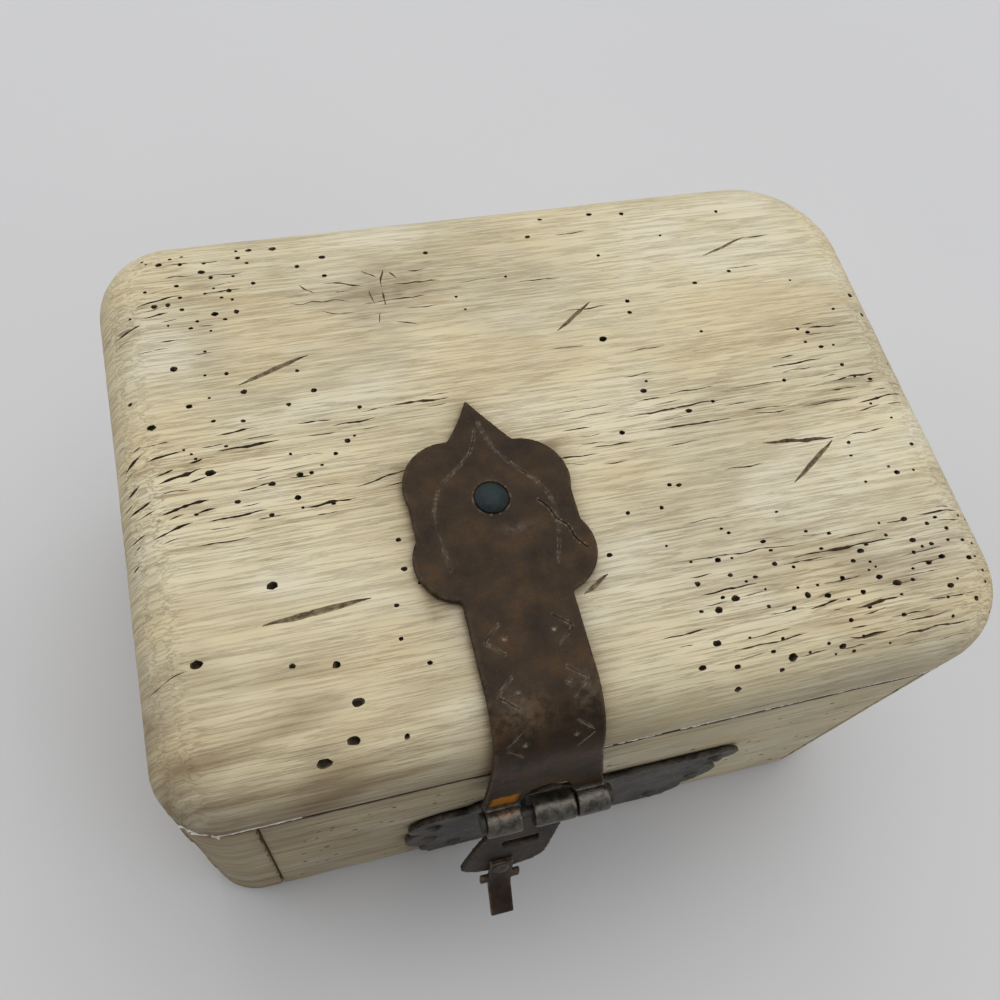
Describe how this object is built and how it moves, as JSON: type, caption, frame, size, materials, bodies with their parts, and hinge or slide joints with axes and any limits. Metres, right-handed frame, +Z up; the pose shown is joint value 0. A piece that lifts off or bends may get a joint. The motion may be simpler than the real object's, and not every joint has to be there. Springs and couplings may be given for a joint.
{
  "type": "wooden box with hinged lid and hasp",
  "caption": "Thick-walled pale wooden box with a rounded hinged lid, a lobed iron hasp strap with a hanging tongue, and an iron lock plate; keeps cigars or small goods.",
  "frame": {"origin": "centre of the box's plan, on the underside that it stands on", "axes": "+X along the front to the right, -Y out of the front with the hasp, +Z up"},
  "size_m": [0.18, 0.1594, 0.1142],
  "materials": {
    "wood": "dry bare cream wood, cracked and worm-holed",
    "peg_wood": "darker bare wood",
    "brown_iron": "hand-forged iron with brown patina",
    "grey_iron": "worn grey iron",
    "dark_iron": "dark oxidised iron",
    "rust_iron": "rust-brown iron"
  },
  "bodies": {
    "case": {"front_board": "wood", "back_board": "wood", "left_board": "wood", "right_board": "wood", "base_board": "wood", "corner_pegs": "peg_wood", "base_nails": "dark_iron", "lock_plate": "grey_iron", "plate_nails": "dark_iron", "staple": "dark_iron", "hinge_leaf_lower_left": "grey_iron", "hinge_leaf_lower_right": "grey_iron", "hinge_pin_left": "dark_iron", "hinge_pin_right": "dark_iron", "hinge_screws_lower": "grey_iron"},
    "lid": {"lid_board": "wood", "hasp_strap": "brown_iron", "strap_rivet": "dark_iron", "rivet_washer": "dark_iron", "hasp_pin": "grey_iron", "hinge_leaf_upper_left": "grey_iron", "hinge_leaf_upper_right": "grey_iron", "hinge_screws_upper": "grey_iron"},
    "hasp": {"hasp_tongue": "grey_iron", "pull_tab": "rust_iron", "tab_rivet": "dark_iron"}
  },
  "joints": [
    {"name": "lid_hinge", "type": "hinge", "parent": "case", "child": "lid", "pos_m": [0, 0.06855, 0.0911], "axis": [-1, 0, 0], "range_deg": [0, 115]},
    {"name": "hasp_hinge", "type": "hinge", "parent": "lid", "child": "hasp", "pos_m": [-0.017, -0.0717, 0.0776], "axis": [-1, 0, 0], "range_deg": [-17, 140]}
  ]
}
